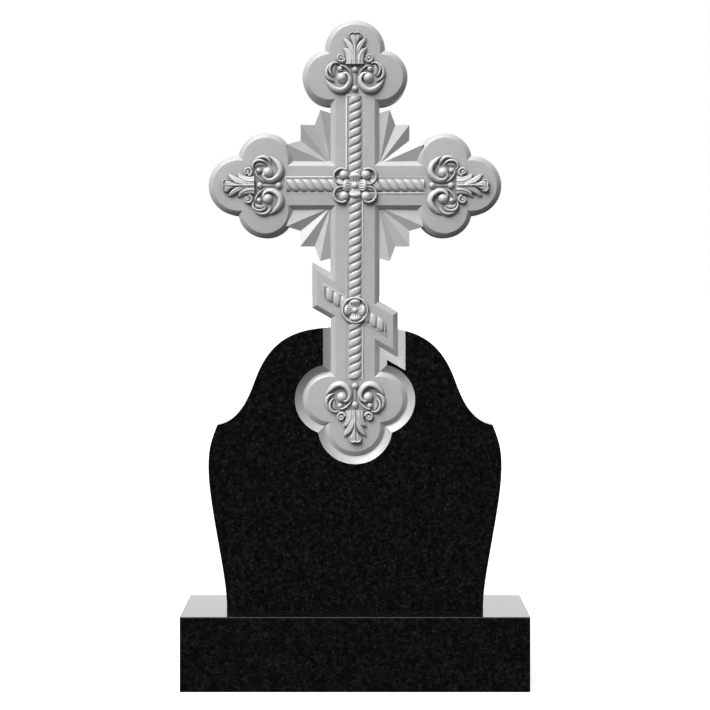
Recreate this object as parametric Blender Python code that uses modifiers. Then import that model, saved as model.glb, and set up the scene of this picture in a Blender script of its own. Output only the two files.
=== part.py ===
# Cross headstone: a shaped granite slab with an eight-pointed cross carved out of the same stone,
# standing on a plain granite plinth. Metres, +Z up, the front looks towards -Y,
# and the origin is the middle of the plinth's underside.

import math
import bpy
import bmesh
from mathutils import Matrix, Vector

# The stone that stands on the plinth, from its base to the cross's tip
stele_height = 1.2026

# Plinth
plinth_width = 0.700
plinth_depth = 0.200
plinth_height = 0.150
plinth_arris = 0.0015
bed_gap = 0.0003

# Slab outline, half-widths and heights above its own base
slab_thickness = 0.080
base_half = 0.261
belly_half = 0.2985
belly_height = 0.291
shoulder_half = 0.2805
shoulder_height = 0.377
dome_half = 0.2036
dome_spring = 0.4685
dome_height = 0.576

# Cross: depths are measured from the slab's polished face
rope_width = 0.025
fillet_width = 0.0065
face_margin = 0.021
bevel_width = 0.010
bevel_height = 0.008
face_depth = 0.004
groove_width = 0.015
top_reach = 0.2215
side_reach = 0.1825
foot_reach = 0.436
side_lobe_radius = 0.0562
side_lobe_spread = 0.0512
end_lobe_radius = 0.0613
end_lobe_reach = 0.0552

# Slanted footrest
rest_drop = 0.254
rest_angle = math.radians(30)
rest_rope_reach = 0.0612
rest_fillet_width = 0.0032
rest_face_margin = 0.0143
rest_end_fillet = 0.0053
rest_end_margin = 0.011

# Rope mouldings and the raised frame round them
fillet_slope = 0.0028
fillet_height = 0.0022
rope_height = 0.0053
rope_edge_height = 0.0008
strand_pitch = 0.0171
strand_rise = math.radians(22.6)
strand_groove = 0.0030
rope_end_gap = 0.004

# Ray fans between the arms
ray_tip_height = 0.0075
ray_valley_depth = 0.002
ray_edge_depth = 0.0015
ray_root_inset = 0.0056

# Ornaments: their drawings further down are in this unit
ornament_unit = 0.001
ornament_top_shift = -0.0015
ornament_left_shift = -0.0045
ornament_right_shift = -0.0030
ornament_foot_shift = -0.0049
ornament_to_frame = 0.0345
ornament_flatness = 0.95
big_ball_u = 0.0273
big_ball_radius = 0.0103
small_ball_u = 0.0308
small_ball_v = 0.0183
small_ball_radius = 0.0049
upper_bead_v = 0.0158
lower_bead_v = -0.0235
bead_radius = 0.0063
boss_petal_reach = 0.0243
boss_ball_radius = 0.0072
corner_ball_radius = 0.0099
corner_ball_x = 0.0230
corner_ball_z = 0.0213
petal_centre = 0.60
petal_half_width = 0.48
petal_height = 0.0090
rosette_ring_radius = 0.0265
rosette_ring_width = 0.0046
rosette_ring_tall = 2.4
rosette_petal_reach = 0.0236
rosette_ball_radius = 0.0066

side_lobe_steps = 10
end_lobe_steps = 5
tube_steps = 2
sunk = 0.0004

# Finishes: colour and roughness
polished_black = ((0.012, 0.012, 0.013), 0.12)
carved_grey = ((0.45, 0.45, 0.45), 0.6)

# Worked out from the sizes above
slab_base = plinth_height + bed_gap
polished_y = -slab_thickness / 2
back_y = slab_thickness / 2
face_y = polished_y + face_depth
valley_y = face_y + bevel_height
cross_z = slab_base + stele_height - top_reach - end_lobe_reach - end_lobe_radius
bevel_slope = bevel_height / bevel_width
arm_half = rope_width / 2 + fillet_width + face_margin + bevel_width
rest_half = rope_width / 2 + rest_fillet_width + rest_face_margin + bevel_width
rest_end = rest_rope_reach + rest_end_fillet + rest_end_margin + bevel_width
reaches = {"top": top_reach, "left": side_reach, "foot": foot_reach, "right": side_reach}
shifts = {
    "top": ornament_top_shift,
    "left": ornament_left_shift,
    "foot": ornament_foot_shift,
    "right": ornament_right_shift,
}
turns = {"top": 0, "left": -math.pi / 2, "foot": math.pi, "right": math.pi / 2}


def turned(point, angle):
    # A point of the front view, turned clockwise about the cross's centre
    u, v = point
    return (u * math.cos(angle) + v * math.sin(angle), v * math.cos(angle) - u * math.sin(angle))


def arc(centre, radius, start, end, steps):
    points = []
    for i in range(steps + 1):
        angle = start + (end - start) * i / steps
        points.append((centre[0] + radius * math.cos(angle), centre[1] + radius * math.sin(angle)))
    return points


def rest_edge(x, half_width, side):
    # Height of the footrest's upper (side 1) or lower (side -1) edge at x
    return -rest_drop + (side * half_width - x * math.sin(rest_angle)) / math.cos(rest_angle)


def rest_points(side, inner, outer, half_width):
    # Corners of the footrest's left or right half, in the outline's order round the cross
    near = side * inner
    far = side * outer
    points = [
        (near, rest_edge(near, half_width, 1)),
        (far, rest_edge(far, half_width, 1)),
        (far, rest_edge(far, half_width, -1)),
        (near, rest_edge(near, half_width, -1)),
    ]
    return points if side < 0 else points[::-1]


def half_trefoil(reach, grow):
    # One half of a trefoil end, from the arm's edge outwards to just before the axis
    half = arm_half + grow
    side_radius = side_lobe_radius + grow
    end_radius = end_lobe_radius + grow
    side_centre = (side_lobe_spread, reach)
    end_centre = (0, reach + end_lobe_reach)
    du = half - side_lobe_spread
    start = math.atan2(-math.sqrt(side_radius**2 - du**2), du)
    distance = math.hypot(side_lobe_spread, end_lobe_reach)
    along = (side_radius**2 - end_radius**2 + distance**2) / (2 * distance)
    off = math.sqrt(side_radius**2 - along**2)
    cusp_u = side_lobe_spread + (-along * side_lobe_spread + off * end_lobe_reach) / distance
    cusp_v = reach + (along * end_lobe_reach + off * side_lobe_spread) / distance
    end = math.atan2(cusp_v - reach, cusp_u - side_lobe_spread)
    points = arc(side_centre, side_radius, start, end, side_lobe_steps)
    end_start = math.atan2(cusp_v - end_centre[1], cusp_u)
    points += arc(end_centre, end_radius, end_start, math.pi / 2, end_lobe_steps)[1:-1]
    return points


def trefoil_end(reach, grow):
    # A whole end, from the arm's right edge over the top to its left edge
    right = half_trefoil(reach, grow)
    tip = (0, reach + end_lobe_reach + end_lobe_radius + grow)
    left = [(-u, v) for u, v in reversed(right)]
    return right + [tip] + left


def square_end(reach, half):
    return [(half, reach), (-half, reach)]


def cross_points(ends, half, rest_inner, rest_outer, rest_width):
    # The whole outline, anticlockwise in the front view
    points = [turned(p, turns["top"]) for p in ends["top"]]
    points.append((-half, half))
    points += [turned(p, turns["left"]) for p in ends["left"]]
    points.append((-half, -half))
    points += rest_points(-1, rest_inner, rest_outer, rest_width)
    points += [turned(p, turns["foot"]) for p in ends["foot"]]
    points += rest_points(1, rest_inner, rest_outer, rest_width)
    points.append((half, -half))
    points += [turned(p, turns["right"]) for p in ends["right"]]
    points.append((half, half))
    return points


def cross_outline(grow):
    half = arm_half + grow
    ends = {name: trefoil_end(reach, grow) for name, reach in reaches.items()}
    return cross_points(ends, half, half, rest_end + grow, rest_half + grow)


def frame_reach(name):
    return reaches[name] + shifts[name] - ornament_to_frame


def frame_outline(grow):
    # The raised frame round the ropes has square ends
    half = rope_width / 2 + fillet_width + grow
    ends = {name: square_end(frame_reach(name) + grow, half) for name in reaches}
    width = rope_width / 2 + rest_fillet_width + grow
    return cross_points(ends, half, half, rest_rope_reach + rest_end_fillet + grow, width)


def mesh_object(name, bm):
    bmesh.ops.recalc_face_normals(bm, faces=bm.faces[:])
    mesh = bpy.data.meshes.new(name)
    bm.to_mesh(mesh)
    bm.free()
    piece = bpy.data.objects.new(name, mesh)
    bpy.context.scene.collection.objects.link(piece)
    return piece


def loft(name, layers):
    # A closed solid through outlines of equal length, each at its own depth
    bm = bmesh.new()
    rings = []
    for outline, y in layers:
        rings.append([bm.verts.new((x, y, z + cross_z)) for x, z in outline])
    count = len(rings[0])
    for low, high in zip(rings, rings[1:]):
        for i in range(count):
            j = (i + 1) % count
            bm.faces.new((low[i], low[j], high[j], high[i]))
    bm.faces.new(rings[0])
    bm.faces.new(rings[-1])
    return mesh_object(name, bm)


def place(piece, angle, x, z):
    # Turn a piece clockwise in the front view and set its origin on the cross's face
    move = Matrix.Translation((x, face_y, z + cross_z)) @ Matrix.Rotation(angle, 4, "Y")
    piece.data.transform(move)
    return piece


def from_curve(curve, name):
    # Make a curve a mesh and weld its loose caps
    guide = bpy.data.objects.new(name, curve)
    bpy.context.scene.collection.objects.link(guide)
    bpy.context.view_layer.update()
    mesh = bpy.data.meshes.new_from_object(guide.evaluated_get(bpy.context.evaluated_depsgraph_get()))
    bpy.data.objects.remove(guide)
    bpy.data.curves.remove(curve)
    bm = bmesh.new()
    bm.from_mesh(mesh)
    bpy.data.meshes.remove(mesh)
    bmesh.ops.remove_doubles(bm, verts=bm.verts[:], dist=0.00001)
    return mesh_object(name, bm)


def tube(name, route, sides=1, steps=tube_steps, tall=1.0):
    # A tapering bar through points of (u, v, width), round or taller than it is wide
    curve = bpy.data.curves.new(name, "CURVE")
    curve.dimensions = "3D"
    curve.bevel_depth = ornament_unit
    curve.bevel_resolution = sides
    curve.resolution_u = steps
    curve.use_fill_caps = True
    spline = curve.splines.new("BEZIER")
    spline.bezier_points.add(len(route) - 1)
    for point, (u, v, width) in zip(spline.bezier_points, route):
        point.co = (u * ornament_unit, sunk, v * ornament_unit)
        point.handle_left_type = "AUTO"
        point.handle_right_type = "AUTO"
        point.radius = width / 2
    piece = from_curve(curve, name)
    piece.data.transform(Matrix.Diagonal((1, ornament_flatness * tall, 1, 1)))
    return piece


def ball(name, u, v, radius, sink=0.25, segments=10, rings=6):
    # A ball whose centre lies a little under the face
    bm = bmesh.new()
    bmesh.ops.create_uvsphere(bm, u_segments=segments, v_segments=rings, radius=radius)
    bmesh.ops.rotate(bm, verts=bm.verts[:], matrix=Matrix.Rotation(math.pi / 2, 3, "X"))
    bmesh.ops.translate(bm, verts=bm.verts[:], vec=(u, radius * sink, v))
    return mesh_object(name, bm)


def rope(name, angle, x, z, length, cuts):
    # A half-round rope along its own axis, cut off square by the planes in cuts
    columns = 4
    strand_rows = (0.0, 0.2, 0.8)
    strands = math.ceil((length + rope_width) / strand_pitch)
    rows = strands * len(strand_rows)
    bm = bmesh.new()
    bmesh.ops.create_grid(bm, x_segments=columns, y_segments=rows, size=0.5)
    half = rope_width / 2
    for vert in bm.verts:
        u = vert.co.x * rope_width
        strand, row = divmod(round((vert.co.y + 0.5) * rows), len(strand_rows))
        turn = strand + strand_rows[row]
        fall = abs(2 * strand_rows[row] - 1) ** 2
        crown = rope_height - (rope_height - rope_edge_height) * (u / half) ** 2
        v = (turn - strands / 2) * strand_pitch + u * math.tan(strand_rise)
        vert.co = Vector((u, -crown + fall * strand_groove, v))
    rim = [edge for edge in bm.edges if edge.is_boundary]
    grown = bmesh.ops.extrude_edge_only(bm, edges=rim)["geom"]
    for item in grown:
        if isinstance(item, bmesh.types.BMVert):
            item.co.y = strand_groove
    floor = [edge for edge in bm.edges if edge.is_boundary]
    bmesh.ops.contextual_create(bm, geom=floor)
    piece = place(mesh_object(name, bm), angle, x, z)
    bm = bmesh.new()
    bm.from_mesh(piece.data)
    for point, normal in cuts:
        everything = bm.verts[:] + bm.edges[:] + bm.faces[:]
        spot = Vector((point[0], 0, point[1] + cross_z))
        out = Vector((normal[0], 0, normal[1]))
        bmesh.ops.bisect_plane(bm, geom=everything, plane_co=spot, plane_no=out, clear_outer=True)
        bmesh.ops.holes_fill(bm, edges=[edge for edge in bm.edges if edge.is_boundary])
    bmesh.ops.recalc_face_normals(bm, faces=bm.faces[:])
    bm.to_mesh(piece.data)
    bm.free()
    return piece


# Rim of one fan from its corner between the arms: across, up, and depth behind the groove's floor
ray_rim = [
    (-0.006, -0.006, ray_edge_depth),
    (0.0794, 0.0, ray_edge_depth),
    (0.0896, 0.0391, -ray_tip_height),
    (0.0610, 0.0479, ray_valley_depth),
    (0.0610, 0.0794, -ray_tip_height),
    (0.0324, 0.0794, ray_valley_depth),
    (0.0207, 0.1096, -ray_tip_height),
    (-0.006, 0.1020, ray_edge_depth),
]


def ray_fan(name, side_x, side_z):
    # Three pointed rays in one corner, folded about a root that lies under the arms' bevels
    root_x = arm_half
    root_z = arm_half - ray_root_inset
    bm = bmesh.new()
    front = []
    for across, up, depth in ray_rim:
        spot = (side_x * (root_x + across), valley_y + depth, side_z * (root_z + up) + cross_z)
        front.append(bm.verts.new(spot))
    back = [bm.verts.new((vert.co.x, back_y, vert.co.z)) for vert in front]
    root = bm.verts.new((side_x * root_x, valley_y, side_z * root_z + cross_z))
    for i in range(len(front)):
        j = (i + 1) % len(front)
        bm.faces.new((front[i], front[j], root))
        bm.faces.new((front[i], front[j], back[j], back[i]))
    bm.faces.new(back)
    return mesh_object(name, bm)


def spiral(centre, outer, inner, start, turn, width):
    # A flat scroll from its outer end inwards
    points = []
    steps = 8
    for i in range(steps + 1):
        part = i / steps
        radius = outer + (inner - outer) * part
        angle = start + turn * part
        spot = (centre[0] + radius * math.cos(angle), centre[1] + radius * math.sin(angle))
        points.append((spot[0], spot[1], width * (1 - 0.3 * part)))
    return points


def mirrored(route, side):
    return [(side * u, v, width) for u, v, width in route]


# Bars of the ornaments as (u, v, width), drawn for the top end and for its right half
volute = [
    (19.7, 9.0, 4.1),
    (12.0, 5.6, 5.6),
    (9.0, -3.2, 9.0),
    (13.2, -16.2, 11.6),
    (25.6, -25.6, 14.8),
    (41.3, -23.6, 14.8),
    (51.4, -15.4, 11.0),
    (56.7, -5.5, 6.2),
]
outer_frond = [(42.1, 2.9, 1.4), (52.0, 10.6, 4.6), (53.9, 24.2, 5.1), (44.4, 32.6, 4.6), (34.7, 30.8, 4.1)]
side_frond = [(40.5, -7.4, 1.4), (52.0, -1.6, 4.8), (58.4, 9.6, 5.1), (57.1, 21.0, 3.1)]
stem = [(30.4, 24.9, 3.6), (18.6, 19.4, 3.7), (9.2, 9.8, 3.0), (6.0, 2.9, 2.0)]
curled_tip = [(-11.4, 82.0, 3.0), (-8.6, 89.6, 5.0), (0.0, 88.8, 5.6), (8.6, 89.6, 5.0), (11.4, 82.0, 3.0)]
bar = [(0.0, 9.0, 3.1), (0.0, -16.0, 3.1)]

# Scrolls as (centre, outer radius, inner radius, start, turn, width)
small_scroll = ((26.9, 40.7), 7.6, 2.2, math.radians(200), math.radians(450), 4.1)
corner_scroll = ((28.0, 17.5), 15.6, 15.6, math.radians(120), math.radians(-235), 4.3)

# How much taller than wide the narrow bars stand
frond_tall = 1.5
stem_tall = 1.6
small_scroll_tall = 1.7
curled_tip_tall = 1.6
corner_scroll_tall = 2.7

# Right half of the leaf: rim points, then crests, as (u, v, height above the face)
leaf_points = {
    "base": (0.0, 27.4, 1.8),
    "corner": (18.2, 28.6, 1.6),
    "hip": (18.0, 43.0, 1.6),
    "low_tip": (22.4, 60.2, 1.4),
    "low_notch": (8.2, 56.9, 1.0),
    "high_hip": (17.2, 66.0, 1.4),
    "high_tip": (21.4, 80.8, 1.4),
    "high_notch": (5.4, 72.6, 1.0),
    "neck": (9.0, 79.0, 1.6),
    "top_corner": (11.0, 88.0, 1.6),
    "top": (0.0, 91.0, 1.6),
    "root": (0.0, 33.0, 5.0),
    "waist": (0.0, 58.0, 6.4),
    "chest": (0.0, 74.0, 6.4),
    "crown": (0.0, 86.0, 5.0),
    "low_root": (10.5, 34.0, 4.6),
    "low_crest": (14.5, 48.0, 4.8),
    "high_crest": (12.6, 67.6, 4.4),
}
leaf_faces = [
    ("base", "corner", "low_root", "root"),
    ("corner", "hip", "low_crest", "low_root"),
    ("hip", "low_tip", "low_crest"),
    ("low_tip", "low_notch", "low_crest"),
    ("root", "low_root", "low_crest", "low_notch"),
    ("root", "low_notch", "waist"),
    ("low_notch", "high_hip", "high_crest"),
    ("high_hip", "high_tip", "high_crest"),
    ("high_tip", "high_notch", "high_crest"),
    ("low_notch", "high_crest", "waist"),
    ("waist", "high_crest", "high_notch"),
    ("waist", "high_notch", "chest"),
    ("high_notch", "neck", "crown", "chest"),
    ("neck", "top_corner", "crown"),
    ("top_corner", "top", "crown"),
]


def leaf():
    # An acanthus leaf of two lobes a side, with a crest down the middle and along each lobe
    bm = bmesh.new()
    verts = {}
    for name, (u, v, height) in leaf_points.items():
        verts[name] = bm.verts.new(Vector((u, -height, v)) * ornament_unit)
    for names in leaf_faces:
        bm.faces.new([verts[name] for name in names])
    half = bm.verts[:] + bm.edges[:] + bm.faces[:]
    bmesh.ops.mirror(bm, geom=half, axis="X", merge_dist=0.00001)
    rim = [edge for edge in bm.edges if edge.is_boundary]
    for item in bmesh.ops.extrude_edge_only(bm, edges=rim)["geom"]:
        if isinstance(item, bmesh.types.BMVert):
            item.co.y = sunk
    bmesh.ops.contextual_create(bm, geom=[edge for edge in bm.edges if edge.is_boundary])
    return mesh_object("leaf", bm)


def finial(name):
    # Scrolls, balls and a leaf for one end, drawn for the top and turned into place
    pieces = []
    for side in (-1, 1):
        pieces.append(tube("volute", mirrored(volute, side)))
        pieces.append(tube("outer_frond", mirrored(outer_frond, side), sides=0, tall=frond_tall))
        pieces.append(tube("side_frond", mirrored(side_frond, side), sides=0, tall=frond_tall))
        pieces.append(tube("stem", mirrored(stem, side), sides=0, tall=stem_tall))
        route = mirrored(spiral(*small_scroll), side)
        pieces.append(tube("small_scroll", route, sides=0, steps=1, tall=small_scroll_tall))
        pieces.append(ball("big_ball", side * big_ball_u, 0, big_ball_radius, segments=8))
        u = side * small_ball_u
        pieces.append(ball("small_ball", u, small_ball_v, small_ball_radius, segments=6, rings=4))
    pieces.append(leaf())
    pieces.append(tube("curled_tip", curled_tip, sides=0, tall=curled_tip_tall))
    pieces.append(tube("bar", bar, sides=0, steps=1))
    for v in (upper_bead_v, lower_bead_v):
        pieces.append(ball("bead", 0, v, bead_radius, segments=6, rings=4))
    reach = reaches[name] + shifts[name]
    x, z = turned((0, reach), turns[name])
    return [place(piece, turns[name], x, z) for piece in pieces]


def petals(reach, z):
    # Four cupped petals about a point on the vertical axis
    pieces = []
    for i in range(4):
        angle = i * math.pi / 2
        petal = ball("petal", 0, 0, 1.0, sink=0, segments=8, rings=4)
        size = (reach * petal_half_width, petal_height, reach * (1 - petal_centre), 1)
        shape = Matrix.Translation((0, sunk, reach * petal_centre)) @ Matrix.Diagonal(size)
        petal.data.transform(shape)
        pieces.append(place(petal, angle, 0, z))
    return pieces


def centre_boss():
    pieces = petals(boss_petal_reach, 0)
    pieces.append(place(ball("boss_ball", 0, 0, boss_ball_radius, sink=0), 0, 0, 0))
    for side_x in (-1, 1):
        for side_z in (-1, 1):
            x = side_x * corner_ball_x
            z = side_z * corner_ball_z
            pieces.append(place(ball("corner_ball", 0, 0, corner_ball_radius, sink=0, segments=8), 0, x, z))
            route = [(side_x * u, side_z * v, width) for u, v, width in spiral(*corner_scroll)]
            scroll = tube("corner_scroll", route, sides=0, steps=1, tall=corner_scroll_tall)
            pieces.append(place(scroll, 0, 0, 0))
    return pieces


def rosette():
    pieces = petals(rosette_petal_reach, -rest_drop)
    pieces.append(place(ball("rosette_ball", 0, 0, rosette_ball_radius, sink=0), 0, 0, -rest_drop))
    bm = bmesh.new()
    profile = bmesh.ops.create_circle(bm, cap_ends=False, segments=6, radius=rosette_ring_width / 2)["verts"]
    bmesh.ops.translate(bm, verts=profile, vec=(rosette_ring_radius, 0, 0))
    bmesh.ops.spin(
        bm,
        geom=profile + bm.edges[:],
        cent=(0, 0, 0),
        axis=(0, 1, 0),
        angle=2 * math.pi,
        steps=18,
        use_merge=True,
    )
    bmesh.ops.remove_doubles(bm, verts=bm.verts[:], dist=0.00001)
    bmesh.ops.scale(bm, vec=(1, rosette_ring_tall, 1), verts=bm.verts[:])
    pieces.append(place(mesh_object("rosette_ring", bm), 0, 0, -rest_drop))
    return pieces


def slab():
    # The outline is one closed curve, mirrored about the middle
    curve = bpy.data.curves.new("slab", "CURVE")
    curve.dimensions = "2D"
    curve.fill_mode = "BOTH"
    curve.extrude = slab_thickness / 2
    curve.resolution_u = 8
    # Each knot is (half-width, height, handle before, handle after)
    right = [
        (base_half, 0, (0, 0), (-0.0033, 0.060)),
        (belly_half, belly_height, (0, -0.080), (0, 0.034)),
        (shoulder_half, shoulder_height, (0.0144, -0.0355), (-0.0435, 0.0073)),
        (dome_half, dome_spring, (0.0148, -0.0410), (-0.0386, 0.1073)),
    ]
    top = (0, dome_height, (0.0907, 0), (-0.0907, 0))
    left = []
    for u, v, before, after in reversed(right):
        left.append((-u, v, (-after[0], after[1]), (-before[0], before[1])))
    knots = right + [top] + left
    spline = curve.splines.new("BEZIER")
    spline.use_cyclic_u = True
    spline.bezier_points.add(len(knots) - 1)
    for point, (u, v, before, after) in zip(spline.bezier_points, knots):
        point.handle_left_type = "FREE"
        point.handle_right_type = "FREE"
        point.co = (u, v, 0)
        point.handle_left = (u + before[0], v + before[1], 0)
        point.handle_right = (u + after[0], v + after[1], 0)
    first = spline.bezier_points[0]
    last = spline.bezier_points[len(knots) - 1]
    first.handle_left_type = "VECTOR"
    last.handle_right_type = "VECTOR"
    piece = from_curve(curve, "stele")
    upright = Matrix.Translation((0, 0, slab_base)) @ Matrix.Rotation(math.pi / 2, 4, "X")
    piece.data.transform(upright)
    return piece


def move_to(collection, piece):
    for holder in piece.users_collection:
        holder.objects.unlink(piece)
    collection.objects.link(piece)


def carve(base, pieces, operation):
    # Cut or join a set of pieces and keep the result as the base's own mesh
    tools = bpy.data.collections.new("tools")
    bpy.context.scene.collection.children.link(tools)
    for piece in pieces:
        move_to(tools, piece)
        piece.hide_render = True
        piece.display_type = "WIRE"
    boolean = base.modifiers.new(operation, "BOOLEAN")
    boolean.operation = operation
    boolean.solver = "EXACT"
    boolean.operand_type = "COLLECTION"
    boolean.collection = tools
    bpy.context.view_layer.update()
    mesh = bpy.data.meshes.new_from_object(base.evaluated_get(bpy.context.evaluated_depsgraph_get()))
    base.modifiers.clear()
    base.data = mesh
    for piece in pieces:
        bpy.data.objects.remove(piece)
    bpy.data.collections.remove(tools)


def granite(name, colour, roughness):
    material = bpy.data.materials.new(name)
    material.use_nodes = True
    shader = material.node_tree.nodes["Principled BSDF"]
    shader.inputs["Base Color"].default_value = (*colour, 1)
    shader.inputs["Roughness"].default_value = roughness
    shader.inputs["Metallic"].default_value = 0
    return material


def make_plinth(collection):
    bpy.ops.mesh.primitive_cube_add(size=1, location=(0, 0, plinth_height / 2))
    block = bpy.context.object
    block.name = "plinth"
    block.scale = (plinth_width, plinth_depth, plinth_height)
    bpy.ops.object.transform_apply(location=False, rotation=False, scale=True)
    arris = block.modifiers.new("arris", "BEVEL")
    arris.width = plinth_arris
    arris.segments = 1
    block.data.materials.append(granite("plinth", *polished_black))
    move_to(collection, block)


def make_stele(collection):
    body = slab()
    below = 0.001
    outside = 0.004
    groove = [
        (cross_outline(-below), valley_y + below * bevel_slope),
        (cross_outline(groove_width), valley_y - groove_width * bevel_slope),
        (cross_outline(groove_width + outside), valley_y - (groove_width + outside) * bevel_slope),
    ]
    carve(body, [loft("groove", groove)], "DIFFERENCE")
    cross = [
        (cross_outline(0), back_y),
        (cross_outline(0), valley_y),
        (cross_outline(-bevel_width), face_y),
    ]
    # The frame's two slopes both run on a little way under the face
    further = 1.3
    frame = [
        (frame_outline(fillet_slope * (further - 1)), face_y + fillet_height * (further - 1)),
        (frame_outline(-fillet_slope), face_y - fillet_height),
        (frame_outline(-fillet_slope * (further + 1)), face_y + fillet_height * (further - 1)),
    ]
    pieces = [loft("cross", cross)]
    for side_x in (-1, 1):
        for side_z in (-1, 1):
            pieces.append(ray_fan("ray_fan", side_x, side_z))
    pieces.append(loft("frame", frame))
    rope_top = frame_reach("top") - rope_end_gap
    rope_foot = frame_reach("foot") - rope_end_gap
    rope_left = frame_reach("left") - rope_end_gap
    rope_right = frame_reach("right") - rope_end_gap
    middle = (rope_top - rope_foot) / 2
    ends = [((0, rope_top), (0, 1)), ((0, -rope_foot), (0, -1))]
    pieces.append(rope("rope", 0, 0, middle, rope_top + rope_foot, ends))
    middle = (rope_right - rope_left) / 2
    ends = [((rope_right, 0), (1, 0)), ((-rope_left, 0), (-1, 0))]
    pieces.append(rope("rope", math.pi / 2, middle, 0, rope_left + rope_right, ends))
    slant = math.pi / 2 + rest_angle
    slant_length = 2 * rest_rope_reach / math.cos(rest_angle)
    ends = [((rest_rope_reach, 0), (1, 0)), ((-rest_rope_reach, 0), (-1, 0))]
    pieces.append(rope("rope", slant, 0, -rest_drop, slant_length, ends))
    for name in reaches:
        pieces += finial(name)
    pieces += centre_boss()
    pieces += rosette()
    carve(body, pieces, "UNION")
    body.data.materials.clear()
    body.data.materials.append(granite("stele", *carved_grey))
    body.data.shade_smooth()
    body.data.set_sharp_from_angle(angle=math.radians(35))
    move_to(collection, body)


for old in list(bpy.data.objects):
    bpy.data.objects.remove(old)
headstone = bpy.data.collections.new("cross headstone")
bpy.context.scene.collection.children.link(headstone)
make_plinth(headstone)
make_stele(headstone)
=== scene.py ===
# Cross headstone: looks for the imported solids. The plinth keeps its CAD solid, and the carved
# stele is modelled again here with its fine relief, in the same place and at the same size.
import math
import bpy
import bmesh
from mathutils import Matrix, Vector


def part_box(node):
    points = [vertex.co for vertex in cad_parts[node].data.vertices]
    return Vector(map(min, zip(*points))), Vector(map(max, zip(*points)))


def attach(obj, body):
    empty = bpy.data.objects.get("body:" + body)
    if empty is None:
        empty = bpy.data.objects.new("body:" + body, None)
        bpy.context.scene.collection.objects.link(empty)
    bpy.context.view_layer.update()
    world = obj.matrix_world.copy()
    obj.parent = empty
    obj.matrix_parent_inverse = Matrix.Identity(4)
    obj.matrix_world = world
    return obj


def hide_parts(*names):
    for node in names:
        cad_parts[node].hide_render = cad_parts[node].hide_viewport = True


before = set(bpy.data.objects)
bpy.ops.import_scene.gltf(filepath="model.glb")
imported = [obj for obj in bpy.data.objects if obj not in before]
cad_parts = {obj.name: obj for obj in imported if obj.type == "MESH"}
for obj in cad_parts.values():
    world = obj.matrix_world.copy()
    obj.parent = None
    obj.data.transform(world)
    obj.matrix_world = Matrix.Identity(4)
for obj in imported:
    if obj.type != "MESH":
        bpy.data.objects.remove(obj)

scene = bpy.context.scene
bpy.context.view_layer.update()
steleLow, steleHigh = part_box("stele")
millimetre = 0.001
rootDepth = 0.5 * millimetre  # how far a carved stroke runs on into the stone

# the stone blank and the cross that is cut from it, in metres
stone = {
    "thickness": 0.080,
    "arris": 0.0008,  # softened edge of the polished slab
    "curveSteps": 24,
    "weld": 0.000003,
    "sharpFrom": math.radians(18),
}
cross = {
    "rope": 0.025,
    "frame": 0.0065,  # raised frame beside the rope
    "face": 0.021,  # flat margin outside the frame
    "bevel": 0.010,
    "bevelDrop": 0.008,
    "sunk": 0.004,  # the face lies this far behind the polished front
    "groove": 0.015,
    "arris": 0.0004,
    "sideLobe": 0.0562,
    "sideSpread": 0.0512,
    "endLobe": 0.0613,
    "endReach": 0.0552,
    "sideSteps": 40,
    "endSteps": 24,
    "restDrop": 0.254,
    "restAngle": math.radians(30),
    "restFrame": 0.0032,
    "restFace": 0.0143,
    "restRope": 0.0612,  # half the footrest's rope, measured level
    "restEndFrame": 0.0053,
    "restEndFace": 0.011,
}
reach = {"top": 0.2215, "left": 0.1825, "foot": 0.436, "right": 0.1825}
shift = {"top": -0.0015, "left": -0.0045, "foot": -0.0049, "right": -0.0030}
turn = {"top": 0, "left": -math.pi / 2, "foot": math.pi, "right": math.pi / 2}
frameGap = 0.0345  # from an ornament's balls back to the end of the frame

polishedY = -stone["thickness"] / 2
backY = stone["thickness"] / 2
faceY = polishedY + cross["sunk"]
valleyY = faceY + cross["bevelDrop"]
bevelSlope = cross["bevelDrop"] / cross["bevel"]
crossZ = steleHigh.z - reach["top"] - cross["endReach"] - cross["endLobe"]
armHalf = cross["rope"] / 2 + cross["frame"] + cross["face"] + cross["bevel"]
restHalf = cross["rope"] / 2 + cross["restFrame"] + cross["restFace"] + cross["bevel"]
restEnd = cross["restRope"] + cross["restEndFrame"] + cross["restEndFace"] + cross["bevel"]


# materials

def addNode(tree, kind, settings=None, **inputs):
    # inputs are sockets to link or values to set, by socket name with its spaces left out
    node = tree.nodes.new(kind)
    for key, value in (settings or {}).items():
        setattr(node, key, value)
    for socket in node.inputs:
        key = socket.name.replace(" ", "")
        if key not in inputs or not socket.enabled:
            continue
        value = inputs.pop(key)
        if isinstance(value, bpy.types.NodeSocket):
            tree.links.new(value, socket)
        else:
            socket.default_value = value
    return node


def newGroup(name, inputs, outputs):
    group = bpy.data.node_groups.new(name, "ShaderNodeTree")
    for label, kind, value in inputs:
        socket = group.interface.new_socket(label, in_out="INPUT", socket_type=kind)
        if value is not None:
            socket.default_value = value
    for label, kind in outputs:
        group.interface.new_socket(label, in_out="OUTPUT", socket_type=kind)
    return group, group.nodes.new("NodeGroupInput"), group.nodes.new("NodeGroupOutput")


def ramp(tree, factor, stops):
    node = tree.nodes.new("ShaderNodeValToRGB")
    tree.links.new(factor, node.inputs["Fac"])
    elements = node.color_ramp.elements
    while len(elements) < len(stops):
        elements.new(0.5)
    for element, (position, level) in zip(elements, stops):
        element.position = position
        element.color = (level, level, level, 1) if isinstance(level, float) else (*level, 1)
    return node.outputs["Color"]


def mathNode(tree, operation, first, second):
    node = tree.nodes.new("ShaderNodeMath")
    node.operation = operation
    for socket, value in zip(node.inputs, (first, second)):
        if isinstance(value, bpy.types.NodeSocket):
            tree.links.new(value, socket)
        else:
            socket.default_value = value
    return node.outputs[0]


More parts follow.
